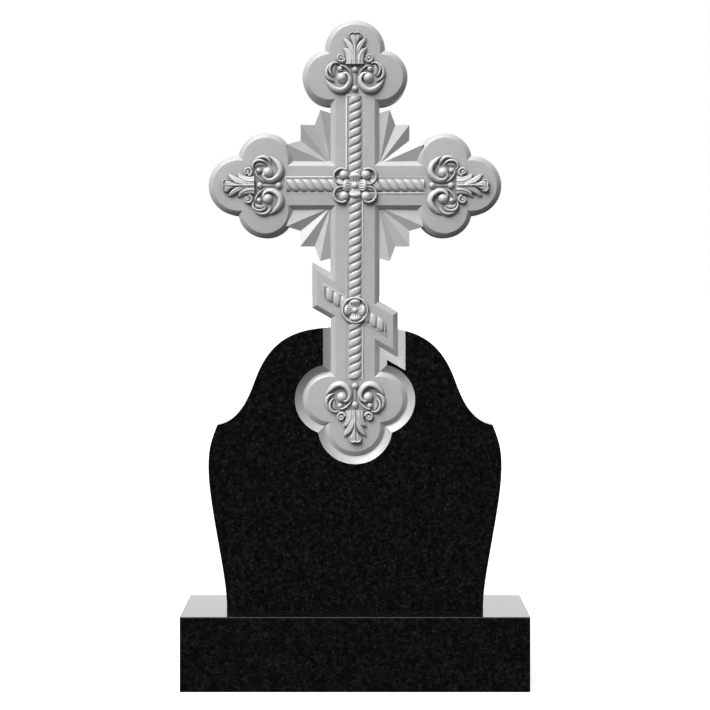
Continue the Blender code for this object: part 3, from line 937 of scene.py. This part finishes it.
def makeLeaf(bm):
    # lobes fall away to their tips between broad flutes, and the midrib is folded to an edge
    for side in (-1, 1):
        for name, settings in lobeStrokes.items():
            carveStroke(bm, leaf[name], side, crest=-0.2, fluteReach=1.3, sharp=0.9, **settings)
    carveStroke(bm, leaf["crown"], rows=28, columns=24, sharp=0.5, cup=0.18)
    carveStroke(bm, leaf["midrib"], rows=28, columns=12, keel=0.55)
    carveStroke(bm, leaf["lip"], rows=56, columns=12)


def makeFinial(name):
    bm = bmesh.new()
    for side in (-1, 1):
        for part, settings in sideStrokes.items():
            carveStroke(bm, finial[part], side, **settings)
        for across, up, radius, sink in finial["sideBalls"]:
            addBall(bm, side * across, up, radius, sink)
    for bead in finial["beads"]:
        addBall(bm, *bead)
    carveStroke(bm, finial["bar"], rows=4, columns=8)
    makeLeaf(bm)
    placeOrnament(bm, turn[name], *turned((0, reach[name] + shift[name]), turn[name]))
    return meshObject("finial" + name.capitalize(), bm, [carved], smoothAngle=60)


for name in reach:
    dress(makeFinial(name))


# centre boss and the footrest's rosette

boss = {
    "petal": [  # outwards from the middle
        (0.0, 5.0, 6.6, 5.4),
        (0.0, 9.0, 9.8, 6.4),
        (0.0, 13.0, 12.2, 8.0),
        (0.0, 17.0, 13.2, 9.6),
        (0.0, 20.4, 12.2, 10.2),
        (0.0, 23.2, 9.2, 9.2),
        (0.0, 25.0, 5.2, 6.8),
        (0.0, 25.9, 1.4, 3.6),
    ],
    "ball": (0.0, 0.0, 7.2, -0.45),
    "cornerBall": (22.3, 21.9, 10.3, 0.0),
    "cornerScroll": spiralRoute((27.4, 18.4), 15.9, 15.7, 126, -245, 3.0, 8.8),
}
rosette = {
    "petalScale": 0.88,
    "ball": (0.0, 0.0, 6.6, -0.45),
    "ringRadius": 25.2,
    "ringWidth": 5.8,
    "ringHeight": 7.8,
}


def addPetals(bm, scale):
    # the pleats of each petal fade out half-way to its rim
    for quarter in range(4):
        petal = bmesh.new()
        route = [(u, v * scale, width * scale, height) for u, v, width, height in boss["petal"]]
        carveStroke(
            petal, route, rows=40, columns=48, flutes=5, fluteDepth=0.36, fluteReach=0.50, sharp=0.7,
        )
        turning = Matrix.Rotation(quarter * math.pi / 2, 3, "Y")
        bmesh.ops.rotate(petal, verts=petal.verts[:], matrix=turning)
        mesh = bpy.data.meshes.new("petal")
        petal.to_mesh(mesh)
        petal.free()
        bm.from_mesh(mesh)
        bpy.data.meshes.remove(mesh)


def makeBoss():
    bm = bmesh.new()
    addPetals(bm, 1.0)
    addBall(bm, *boss["ball"])
    u, v, radius, sink = boss["cornerBall"]
    for side in (-1, 1):
        for up in (-1, 1):
            addBall(bm, side * u, up * v, radius, sink)
            route = [(a, up * b, width, height) for a, b, width, height in boss["cornerScroll"]]
            carveStroke(bm, route, side, rows=48, columns=10)
    placeOrnament(bm, 0, 0, 0)
    return meshObject("centreBoss", bm, [carved], smoothAngle=60)


def makeRosette():
    bm = bmesh.new()
    addPetals(bm, rosette["petalScale"])
    addBall(bm, *rosette["ball"])
    # the ring is an oval tube, spun about the middle
    profile = bmesh.ops.create_circle(bm, segments=16, radius=1)["verts"]
    edges = list({edge for vert in profile for edge in vert.link_edges})
    size = (rosette["ringWidth"] / 2 * millimetre, rosette["ringHeight"] * millimetre, 1)
    bmesh.ops.scale(bm, vec=size, verts=profile)
    bmesh.ops.translate(bm, verts=profile, vec=(rosette["ringRadius"] * millimetre, 0, 0))
    bmesh.ops.spin(
        bm, geom=profile + edges, cent=(0, 0, 0), axis=(0, 1, 0),
        angle=2 * math.pi, steps=72, use_merge=True,
    )
    placeOrnament(bm, 0, 0, -cross["restDrop"])
    return meshObject("footrestRosette", bm, [carved], smoothAngle=60)


dress(makeBoss())
dress(makeRosette())

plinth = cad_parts["plinth"]
plinth.data.materials.clear()
plinth.data.materials.append(granite)
print("plinth finished")


# floor, light and camera

studio = {
    "floorSize": 60.0,
    "floorGlow": 0.85,
    "keyFrom": (-0.40, -0.54, 0.74),
    "keySoftness": math.radians(42),
    "keyPower": 4.85,
    "ambientAbove": 0.30,
    "ambientBelow": 0.03,
    "behind": 2.3,
    "inFront": 0.04,
    "behindFrom": (0.0, 0.6),  # the direction's Y from the dim side to the bright one
    "horizon": (-0.09, 0.04),  # the direction's Z where the bright side fades in
    "overhead": 2.5,  # a panel that only polished edges mirror
    "overheadFrom": (0.90, 0.97),
}
view = {
    "distance": 3.1,
    "height": 0.87,
    "focalPixels": 1503.3,
    "photoPixels": 710,
    "sensor": 36,
    "shiftUp": -0.1387,
}


def makeFloor():
    bm = bmesh.new()
    bmesh.ops.create_grid(bm, x_segments=1, y_segments=1, size=studio["floorSize"] / 2)
    material, tree, shader, place = newMaterial("paleFloor")
    shader.inputs["Base Color"].default_value = (0.5, 0.5, 0.5, 1)
    shader.inputs["Roughness"].default_value = 0.9
    shader.inputs["Specular IOR Level"].default_value = 0.0
    shader.inputs["Emission Color"].default_value = (1, 1, 1, 1)
    shader.inputs["Emission Strength"].default_value = studio["floorGlow"]
    floor = meshObject("floor", bm, [material])
    floor.visible_diffuse = False  # keeps the carving's undersides dark, as black flags would
    floor.visible_glossy = False


def makeWorld():
    # bright behind the stone, dim in front of it, and white where the camera sees it
    world = bpy.data.worlds.new("studio")
    scene.world = world
    world.use_nodes = True
    tree = world.node_tree
    background = tree.nodes["Background"]
    direction = tree.nodes.new("ShaderNodeTexCoord").outputs["Generated"]
    axes = addNode(tree, "ShaderNodeSeparateXYZ", None, Vector=direction).outputs
    lightPath = tree.nodes.new("ShaderNodeLightPath").outputs
    ambient = addNode(
        tree, "ShaderNodeMapRange", None,
        Value=axes["Z"], FromMin=-1.0, FromMax=1.0,
        ToMin=studio["ambientBelow"], ToMax=studio["ambientAbove"],
    ).outputs["Result"]
    low, high = studio["horizon"]
    lifted = addNode(
        tree, "ShaderNodeMapRange", {"interpolation_type": "SMOOTHSTEP"},
        Value=axes["Z"], FromMin=low, FromMax=high, ToMin=0.0, ToMax=1.0,
    ).outputs["Result"]
    low, high = studio["behindFrom"]
    mirrored = addNode(
        tree, "ShaderNodeMapRange", None,
        Value=mathNode(tree, "MULTIPLY", axes["Y"], lifted),
        FromMin=low, FromMax=high, ToMin=studio["inFront"], ToMax=studio["behind"],
    ).outputs["Result"]
    low, high = studio["overheadFrom"]
    panel = addNode(
        tree, "ShaderNodeMapRange", {"interpolation_type": "SMOOTHSTEP"},
        Value=axes["Z"], FromMin=low, FromMax=high, ToMin=0.0, ToMax=studio["overhead"],
    ).outputs["Result"]
    seen = addNode(
        tree, "ShaderNodeMix", {"data_type": "FLOAT"},
        Factor=lightPath["Is Glossy Ray"], A=ambient, B=mathNode(tree, "ADD", mirrored, panel),
    ).outputs["Result"]
    final = addNode(
        tree, "ShaderNodeMix", {"data_type": "FLOAT"}, Factor=lightPath["Is Camera Ray"], A=seen, B=1.0,
    ).outputs["Result"]
    tree.links.new(final, background.inputs["Strength"])
    background.inputs["Color"].default_value = (1, 1, 1, 1)


def makeKeyLight():
    data = bpy.data.lights.new("key", "SUN")
    data.angle = studio["keySoftness"]
    data.energy = studio["keyPower"]
    light = bpy.data.objects.new("key", data)
    light.rotation_euler = Vector(studio["keyFrom"]).to_track_quat("Z", "Y").to_euler()
    scene.collection.objects.link(light)


def makeCamera():
    # level, at the photograph's height, with the frame shifted down to take in the plinth
    data = bpy.data.cameras.new("camera")
    data.sensor_width = view["sensor"]
    data.lens = view["sensor"] * view["focalPixels"] / view["photoPixels"]
    data.shift_y = view["shiftUp"]
    camera = bpy.data.objects.new("camera", data)
    camera.location = (0, -view["distance"], view["height"])
    camera.rotation_euler = (math.pi / 2, 0, 0)
    scene.collection.objects.link(camera)
    scene.camera = camera


makeFloor()
makeWorld()
makeKeyLight()
makeCamera()
scene.view_settings.view_transform = "Standard"
print("studio set")
